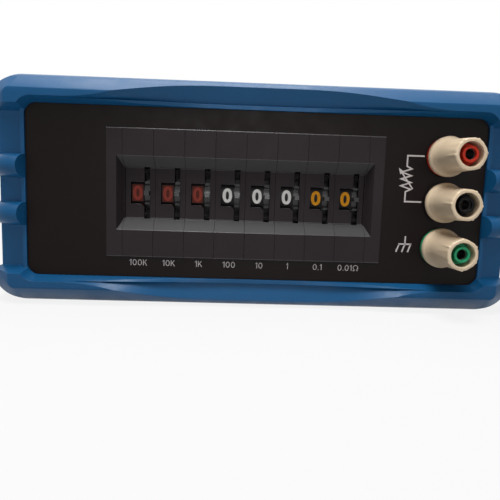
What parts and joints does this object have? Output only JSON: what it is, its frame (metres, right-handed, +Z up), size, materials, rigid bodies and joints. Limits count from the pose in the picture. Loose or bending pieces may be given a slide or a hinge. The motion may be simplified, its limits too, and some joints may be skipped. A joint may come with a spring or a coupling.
{
  "type": "resistance decade box",
  "caption": "Bench resistance decade box with thumbwheel switches, three screw terminals and blue end bumpers on a flat instrument case.",
  "frame": {"origin": "middle of the box's underside, centred between the cap tips and the rear face", "axes": "+Z up, +X to the user's right, +Y from the front panel into the box"},
  "size_m": [0.2238, 0.1776, 0.0936],
  "materials": {
    "bumper_blue": "satin",
    "case_grey": "satin",
    "panel_metal": "satin",
    "film_black": "satin",
    "rear_panel_grey": "satin",
    "steel": "satin",
    "spring_steel": "satin",
    "brass": "satin",
    "bank_black": "satin",
    "wheel_black": "satin",
    "board_green": "satin",
    "resistor_blue": "gloss",
    "tinned_copper": "satin",
    "insulator_red": "gloss",
    "insulator_black": "gloss",
    "insulator_green": "gloss",
    "nickel": "polished",
    "lead_black": "satin",
    "cap_cream": "satin"
  },
  "bodies": {
    "box": {"front_bumper": "bumper_blue", "rear_bumper": "bumper_blue", "upper_case": "case_grey", "lower_case": "case_grey", "front_panel": "panel_metal", "panel_film": "film_black", "rear_panel": "rear_panel_grey", "panel_screws": "steel", "case_inserts": "brass", "case_screws": "steel", "left_end_cheek": "bank_black", "right_end_cheek": "bank_black", "switch_housing_1": "bank_black", "switch_housing_2": "bank_black", "switch_housing_3": "bank_black", "switch_housing_4": "bank_black", "switch_housing_5": "bank_black", "switch_housing_6": "bank_black", "switch_housing_7": "bank_black", "switch_housing_8": "bank_black", "switch_board_1": "board_green", "switch_board_2": "board_green", "switch_board_3": "board_green", "switch_board_4": "board_green", "switch_board_5": "board_green", "switch_board_6": "board_green", "switch_board_7": "board_green", "switch_board_8": "board_green", "detent_springs": "spring_steel", "bank_tie_rods": "steel", "bank_tie_nuts": "steel", "decade_resistors": "resistor_blue", "series_links": "tinned_copper", "red_terminal_base": "insulator_red", "red_terminal_post": "nickel", "red_terminal_sleeve": "insulator_red", "black_terminal_base": "insulator_black", "black_terminal_post": "nickel", "black_terminal_sleeve": "insulator_black", "green_terminal_base": "insulator_green", "green_terminal_post": "nickel", "green_terminal_sleeve": "insulator_green", "terminal_backers": "insulator_black", "terminal_nuts": "nickel", "solder_tags": "tinned_copper", "terminal_leads": "lead_black"},
    "thumbwheel_1": {"thumbwheel_1": "wheel_black"},
    "thumbwheel_2": {"thumbwheel_2": "wheel_black"},
    "thumbwheel_3": {"thumbwheel_3": "wheel_black"},
    "thumbwheel_4": {"thumbwheel_4": "wheel_black"},
    "thumbwheel_5": {"thumbwheel_5": "wheel_black"},
    "thumbwheel_6": {"thumbwheel_6": "wheel_black"},
    "thumbwheel_7": {"thumbwheel_7": "wheel_black"},
    "thumbwheel_8": {"thumbwheel_8": "wheel_black"},
    "red_washer": {"red_clamp_washer": "nickel"},
    "red_cap": {"red_clamp_cap": "cap_cream"},
    "black_washer": {"black_clamp_washer": "nickel"},
    "black_cap": {"black_clamp_cap": "cap_cream"},
    "green_washer": {"green_clamp_washer": "nickel"},
    "green_cap": {"green_clamp_cap": "cap_cream"}
  },
  "joints": [
    {"name": "turn_thumbwheel_1", "type": "hinge", "parent": "box", "child": "thumbwheel_1", "pos_m": [-0.04963, -0.04575, 0.0468], "axis": [1, 0, 0], "continuous": true},
    {"name": "turn_thumbwheel_2", "type": "hinge", "parent": "box", "child": "thumbwheel_2", "pos_m": [-0.03693, -0.04575, 0.0468], "axis": [1, 0, 0], "continuous": true},
    {"name": "turn_thumbwheel_3", "type": "hinge", "parent": "box", "child": "thumbwheel_3", "pos_m": [-0.02423, -0.04575, 0.0468], "axis": [1, 0, 0], "continuous": true},
    {"name": "turn_thumbwheel_4", "type": "hinge", "parent": "box", "child": "thumbwheel_4", "pos_m": [-0.01153, -0.04575, 0.0468], "axis": [1, 0, 0], "continuous": true},
    {"name": "turn_thumbwheel_5", "type": "hinge", "parent": "box", "child": "thumbwheel_5", "pos_m": [0.00117, -0.04575, 0.0468], "axis": [1, 0, 0], "continuous": true},
    {"name": "turn_thumbwheel_6", "type": "hinge", "parent": "box", "child": "thumbwheel_6", "pos_m": [0.01387, -0.04575, 0.0468], "axis": [1, 0, 0], "continuous": true},
    {"name": "turn_thumbwheel_7", "type": "hinge", "parent": "box", "child": "thumbwheel_7", "pos_m": [0.02657, -0.04575, 0.0468], "axis": [1, 0, 0], "continuous": true},
    {"name": "turn_thumbwheel_8", "type": "hinge", "parent": "box", "child": "thumbwheel_8", "pos_m": [0.03927, -0.04575, 0.0468], "axis": [1, 0, 0], "continuous": true},
    {"name": "lift_red_cap", "type": "slide", "parent": "box", "child": "red_washer", "axis": [0, -1, 0], "range_m": [0, 0.003]},
    {"name": "turn_red_cap", "type": "hinge", "parent": "red_washer", "child": "red_cap", "pos_m": [0.078, -0.0668, 0.06585], "axis": [0, -1, 0], "range_deg": [0, 1080]},
    {"name": "lift_black_cap", "type": "slide", "parent": "box", "child": "black_washer", "axis": [0, -1, 0], "range_m": [0, 0.003]},
    {"name": "turn_black_cap", "type": "hinge", "parent": "black_washer", "child": "black_cap", "pos_m": [0.078, -0.0668, 0.0468], "axis": [0, -1, 0], "range_deg": [0, 1080]},
    {"name": "lift_green_cap", "type": "slide", "parent": "box", "child": "green_washer", "axis": [0, -1, 0], "range_m": [0, 0.003]},
    {"name": "turn_green_cap", "type": "hinge", "parent": "green_washer", "child": "green_cap", "pos_m": [0.078, -0.0668, 0.02775], "axis": [0, -1, 0], "range_deg": [0, 1080]}
  ],
  "couplings": [
    {"joint": "lift_red_cap", "follows": "turn_red_cap", "m_per_rad": 0.00015915},
    {"joint": "lift_black_cap", "follows": "turn_black_cap", "m_per_rad": 0.00015915},
    {"joint": "lift_green_cap", "follows": "turn_green_cap", "m_per_rad": 0.00015915}
  ]
}
